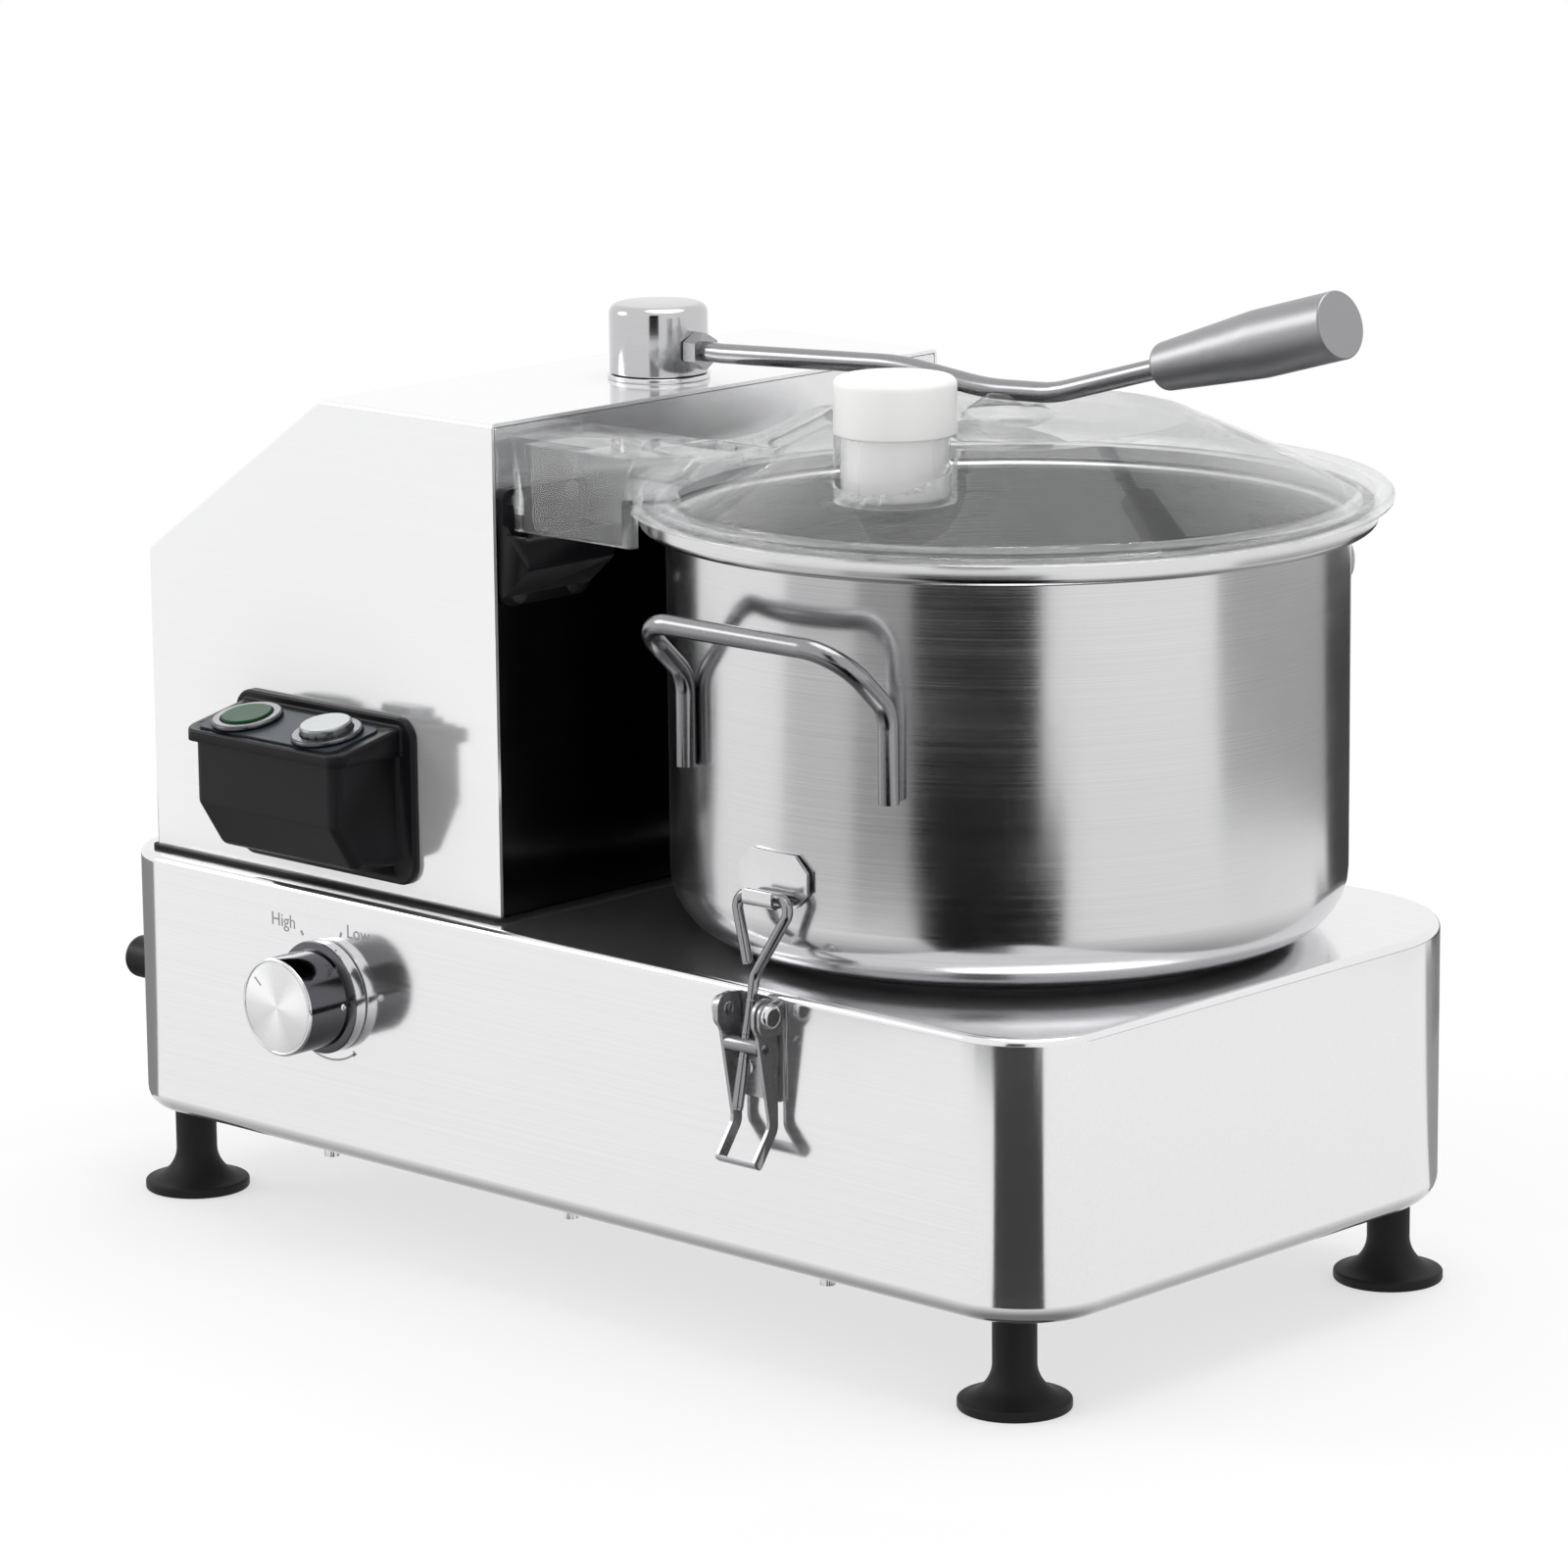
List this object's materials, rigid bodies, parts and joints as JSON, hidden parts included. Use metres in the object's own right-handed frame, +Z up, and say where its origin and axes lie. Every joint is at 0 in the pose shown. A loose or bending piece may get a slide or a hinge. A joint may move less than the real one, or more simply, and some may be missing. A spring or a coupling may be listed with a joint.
{
  "type": "commercial food processor",
  "caption": "Bench bowl cutter: latched steel bowl under a clear domed lid with feed tube and swing arm, motor tower, push buttons and speed knob on a long low base on feet.",
  "frame": {"origin": "centre of the bounding box on the floor", "axes": "+X from the motor tower to the bowl and the arm grip, -Y towards the operator, +Z up"},
  "size_m": [0.577, 0.3248, 0.4119],
  "materials": {
    "steel": "brushed",
    "polished_steel": "polished",
    "chrome": "polished",
    "clear_lid": "clear moulded",
    "white_nylon": "satin",
    "black_plastic": "fine grain",
    "grey_panel": "satin",
    "green_button": "glossy",
    "silver_button": "satin",
    "black_rubber": "matte",
    "grey_rubber": "matte",
    "cast_alloy": "cast",
    "dark_iron": "painted",
    "circuit_green": "satin"
  },
  "bodies": {
    "housing": {"arm_post": "polished_steel", "base_bottom_plate": "steel", "base_housing": "polished_steel", "bearing_housing": "cast_alloy", "bowl": "steel", "bowl_handle_front": "polished_steel", "bowl_handle_rear": "polished_steel", "bowl_seat_ring": "grey_rubber", "cable_gland": "black_plastic", "catch_plate_front": "polished_steel", "catch_plate_rear": "polished_steel", "control_box": "black_plastic", "control_panel": "grey_panel", "drive_belt": "black_rubber", "foot_front_left": "black_rubber", "foot_front_right": "black_rubber", "foot_rear_left": "black_rubber", "foot_rear_right": "black_rubber", "housing_fixings": "polished_steel", "latch_bracket_front": "polished_steel", "latch_bracket_rear": "polished_steel", "latch_fixings": "polished_steel", "lid": "clear_lid", "lid_bracket": "black_plastic", "lid_seal": "grey_rubber", "motor_body": "cast_alloy", "motor_end_cap": "dark_iron", "motor_plate": "steel", "safety_switch": "black_plastic", "shaft_bearings": "polished_steel", "shaft_seal": "black_rubber", "speed_control": "dark_iron", "speed_control_board": "circuit_green", "start_button_bezel": "chrome", "stop_button_bezel": "chrome", "tower_front_panel": "polished_steel", "tower_gasket": "black_rubber", "tower_housing": "polished_steel"},
    "start_button": {"start_button": "green_button"},
    "stop_button": {"stop_button": "silver_button"},
    "speed_knob": {"speed_knob": "chrome", "knob_shaft": "polished_steel"},
    "plunger": {"plunger": "white_nylon"},
    "arm": {"arm_cap": "polished_steel", "arm_nut": "polished_steel", "arm_rod": "polished_steel", "arm_grip": "steel"},
    "cutter": {"blade_hub": "white_nylon", "blade_lower": "polished_steel", "blade_upper": "polished_steel", "drive_shaft": "polished_steel", "driven_pulley": "cast_alloy"},
    "motor_rotor": {"motor_shaft": "polished_steel", "motor_pulley": "cast_alloy"},
    "latch_lever_front": {"latch_lever_front": "polished_steel"},
    "latch_hook_front": {"latch_hook_front": "polished_steel", "latch_crossbar_front": "polished_steel"},
    "latch_lever_rear": {"latch_lever_rear": "polished_steel"},
    "latch_hook_rear": {"latch_hook_rear": "polished_steel", "latch_crossbar_rear": "polished_steel"}
  },
  "joints": [
    {"name": "start_button_press", "type": "slide", "parent": "housing", "child": "start_button", "axis": [0, 0.1977, -0.9803], "range_m": [0, 0.0025], "stiffness_N_per_m": 900},
    {"name": "stop_button_press", "type": "slide", "parent": "housing", "child": "stop_button", "axis": [0, 0.1977, -0.9803], "range_m": [0, 0.0025], "stiffness_N_per_m": 900},
    {"name": "speed_knob_turn", "type": "hinge", "parent": "housing", "child": "speed_knob", "pos_m": [-0.11821, -0.13441, 0.107], "axis": [0, -1, 0], "range_deg": [0, 282]},
    {"name": "plunger_lift", "type": "slide", "parent": "housing", "child": "plunger", "axis": [0, 0, 1], "range_m": [0, 0.06]},
    {"name": "arm_swing", "type": "hinge", "parent": "housing", "child": "arm", "pos_m": [-0.06501, 0.00609, 0.3462], "axis": [0, 0, 1], "range_deg": [0, 110]},
    {"name": "cutter_spin", "type": "hinge", "parent": "housing", "child": "cutter", "pos_m": [0.12259, 0.00609, 0.1487], "axis": [0, 0, 1], "continuous": true},
    {"name": "motor_spin", "type": "hinge", "parent": "housing", "child": "motor_rotor", "pos_m": [-0.12821, 0.00609, 0.1487], "axis": [0, 0, 1], "continuous": true},
    {"name": "latch_lever_front_swing", "type": "hinge", "parent": "housing", "child": "latch_lever_front", "pos_m": [0.12259, -0.14291, 0.142], "axis": [-1, 0, 0], "range_deg": [0, 65]},
    {"name": "latch_hook_front_turn", "type": "hinge", "parent": "latch_lever_front", "child": "latch_hook_front", "pos_m": [0.12259, -0.14321, 0.129], "axis": [-1, 0, 0], "range_deg": [-52, 0]},
    {"name": "latch_lever_rear_swing", "type": "hinge", "parent": "housing", "child": "latch_lever_rear", "pos_m": [0.12259, 0.15509, 0.142], "axis": [1, 0, 0], "range_deg": [0, 65]},
    {"name": "latch_hook_rear_turn", "type": "hinge", "parent": "latch_lever_rear", "child": "latch_hook_rear", "pos_m": [0.12259, 0.15539, 0.129], "axis": [1, 0, 0], "range_deg": [-52, 0]}
  ],
  "couplings": [
    {"joint": "motor_spin", "follows": "cutter_spin", "ratio": 1.5545},
    {"joint": "latch_hook_front_turn", "follows": "latch_lever_front_swing", "ratio": -0.8},
    {"joint": "latch_hook_rear_turn", "follows": "latch_lever_rear_swing", "ratio": -0.8}
  ]
}
